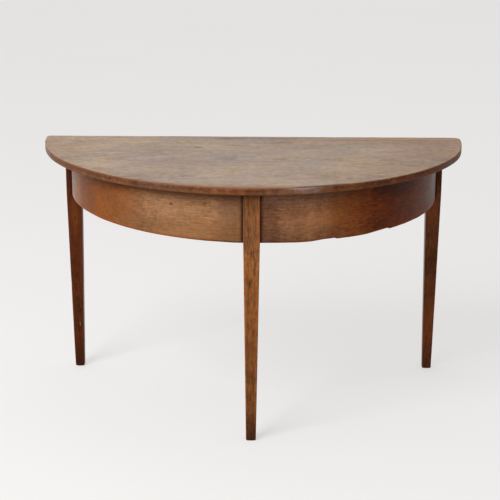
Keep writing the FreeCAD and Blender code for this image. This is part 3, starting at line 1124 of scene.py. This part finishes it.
# Oak of the legs and the aprons: pith, colour, worn colour, patches and how strongly it is figured
leg_plans = [
    ("front", (0.03, -0.16), (144, 90, 50), leg_worn, front_leg_patches, 0.7),
    ("left", (0.05, -0.14), (90, 43, 20), back_leg_worn, left_leg_patches, 0.7),
    ("right", (-0.06, -0.13), (132, 71, 39), back_leg_worn, right_leg_patches, 0.5),
]
left_apron_plan = ((-0.05, -0.2), (143, 84, 38), apron_worn, left_patches, 0.26)
right_apron_plan = ((0.17, -0.18), (148, 89, 46), apron_worn, right_patches, 0.5)

# The dressed pieces

whole_top = make_top()
for place, low_y, high_y, settle, (pith_y, pith_depth), lean, tint in board_plans:
    node = f"top_{place}_board"
    material = oak_top("bleached_oak_" + node, (pith_y, top_z - pith_depth), lean, tint)
    made = board(whole_top, low_y, high_y, settle)
    dress(node, made, material, along_x, top_wear, top_grime, top_side)
whole_top.free()

axes = screw_axes()
leg_oak = {place: oak_frame(f"oak_{place}_leg", *plan, leg_streaks, leg_mottle) for place, *plan in leg_plans}
dress_leg("front_leg", front_leg_low, front_leg_high, -1, leg_oak["front"], 1.0)
dress_leg("back_leg_right", back_leg_low, back_leg_high, 1, leg_oak["right"], 2.0)
dress_leg("back_leg_left", left_leg_low, left_leg_high, 1, leg_oak["left"], 3.0)
left_apron_oak = oak_frame("oak_left_apron", *left_apron_plan, apron_streaks, apron_mottle, blotched=0.55)
right_apron_oak = oak_frame("oak_right_apron", *right_apron_plan, apron_streaks, apron_mottle)
dress_apron(-1, "apron_left", left_apron_oak, axes)
dress_apron(1, "apron_right", right_apron_oak, axes)

rail_wood = softwood("aged_softwood_rails")
rail_axes = [axis for axis in axes if axis[0].y > rail_low.y]
rail_front = Vector((left_leg_high.x, rail_low.y, rail_low.z))
rail_back = Vector((back_leg_low.x, rail_high.y, rail_high.z))
dress_bar("back_rail", rail_front, rail_back, 0, rail_wood, 4.0, rail_axes)
brace_front = Vector((brace_low.x, front_leg_high.y, brace_low.z))
brace_back = Vector((brace_high.x, rail_low.y, brace_high.z))
dress_bar("centre_brace", brace_front, brace_back, 1, rail_wood, 5.0)

block_wood = softwood("aged_softwood_blocks")
for side in ("left", "right"):
    for number in (1, 2, 3):
        node = f"apron_block_{number}_{side}"
        low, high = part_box(node)
        outward = (low + high) / 2 - Vector((0, apron_centre_y, 0))
        dress_block(node, Vector((-outward.y, outward.x, 0)).normalized(), block_wood)
    for number in (1, 2):
        dress_block(f"rail_block_{number}_{side}", Vector((1, 0, 0)), block_wood)
    for place in ("front", "back"):
        dress_block(f"{place}_corner_block_{side}", Vector((0, 0, 1)), block_wood)

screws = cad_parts["top_screws"]
screws.material_slots[0].material = screw_steel()

# Floor, light and camera

floor_half = 250.0
backdrop_level = 0.8
floor_level = 0.55
world_facing = Vector((-0.5, 0.75, 0.45))
world_dark = 0.15
world_bright = 0.8
key_power = 210.0
key_width = 2.6
key_height = 3.0
key_place = Vector((-2.7, -3.1, 3.5))
key_target = Vector((0.0, 0.0, 0.5))
camera_place = Vector((0.0406, -4.0711, 1.6936))
camera_pitch = math.radians(16.886)
camera_yaw = math.radians(-0.672)
camera_roll = math.radians(-0.174)
camera_lens = 109.36
camera_far = 600.0
floor_noise = (0.8, 0.8)
white = (1.0, 1.0, 1.0, 1.0)
warm_white = (1.0, 0.985, 0.97, 1.0)
floor_colours = (colour(152, 150, 148), colour(158, 156, 154))


def make_floor():
    """A plain pale floor that takes the table's shadow and hides nothing from below."""
    made = bmesh.new()
    bmesh.ops.create_grid(made, x_segments=1, y_segments=1, size=floor_half)
    floor = mesh_object("floor", made)
    shader = Shader(bpy.data.materials.new("pale_floor"))
    cloud = shader.noise(shader.add("TexCoord", {}, "Object"), *floor_noise)
    surface = shader.add("BsdfPrincipled", {
        "Base Color": shader.blend(cloud, *floor_colours), "Roughness": 0.8, "Specular IOR Level": 0.1,
        "Emission Color": white, "Emission Strength": shader.times(shader.seen(), floor_level),
    })
    below = shader.add("NewGeometry", {}, "Backfacing")
    clear = shader.add("BsdfTransparent", {})
    shader.add("OutputMaterial", {"Surface": shader.add("MixShader", {0: below, 1: surface, 2: clear})})
    floor.data.materials.append(shader.owner)


def make_world():
    """Even soft light, which the camera and reflections see as a pale backdrop."""
    world = bpy.data.worlds.new("studio")
    bpy.context.scene.world = world
    shader = Shader(world)
    outwards = shader.add("TexCoord", {}, "Generated")
    facing = {0: outwards, 1: world_facing.normalized()}
    level = shader.add("MapRange", {
        "Value": shader.add("VectorMath", facing, "Value", operation="DOT_PRODUCT"),
        "From Min": -1.0, "To Min": world_dark, "To Max": world_bright,
    })
    lit = shader.add("Background", {"Color": warm_white, "Strength": level})
    shown = shader.add("Background", {"Color": white, "Strength": backdrop_level})
    mixed = shader.add("MixShader", {0: shader.seen(), 1: lit, 2: shown})
    shader.add("OutputWorld", {"Surface": mixed})


def make_key():
    """One large soft lamp, high at the front left."""
    lamp = bpy.data.lights.new("key", "AREA")
    lamp.energy = key_power
    lamp.shape = "RECTANGLE"
    lamp.size = key_width
    lamp.size_y = key_height
    key = put("key", lamp)
    key.location = key_place
    key.rotation_euler = (key_target - key_place).to_track_quat("-Z", "Y").to_euler()


def make_camera():
    """The photograph's viewpoint."""
    lens = bpy.data.cameras.new("camera")
    lens.lens = camera_lens
    lens.clip_end = camera_far
    camera = put("camera", lens)
    turn = Matrix.Rotation(-camera_yaw, 4, "Z") @ Matrix.Rotation(math.pi / 2 - camera_pitch, 4, "X")
    camera.matrix_world = Matrix.Translation(camera_place) @ turn @ Matrix.Rotation(-camera_roll, 4, "Z")
    bpy.context.scene.camera = camera


make_floor()
make_world()
make_key()
make_camera()
bpy.context.scene.view_settings.view_transform = "Standard"
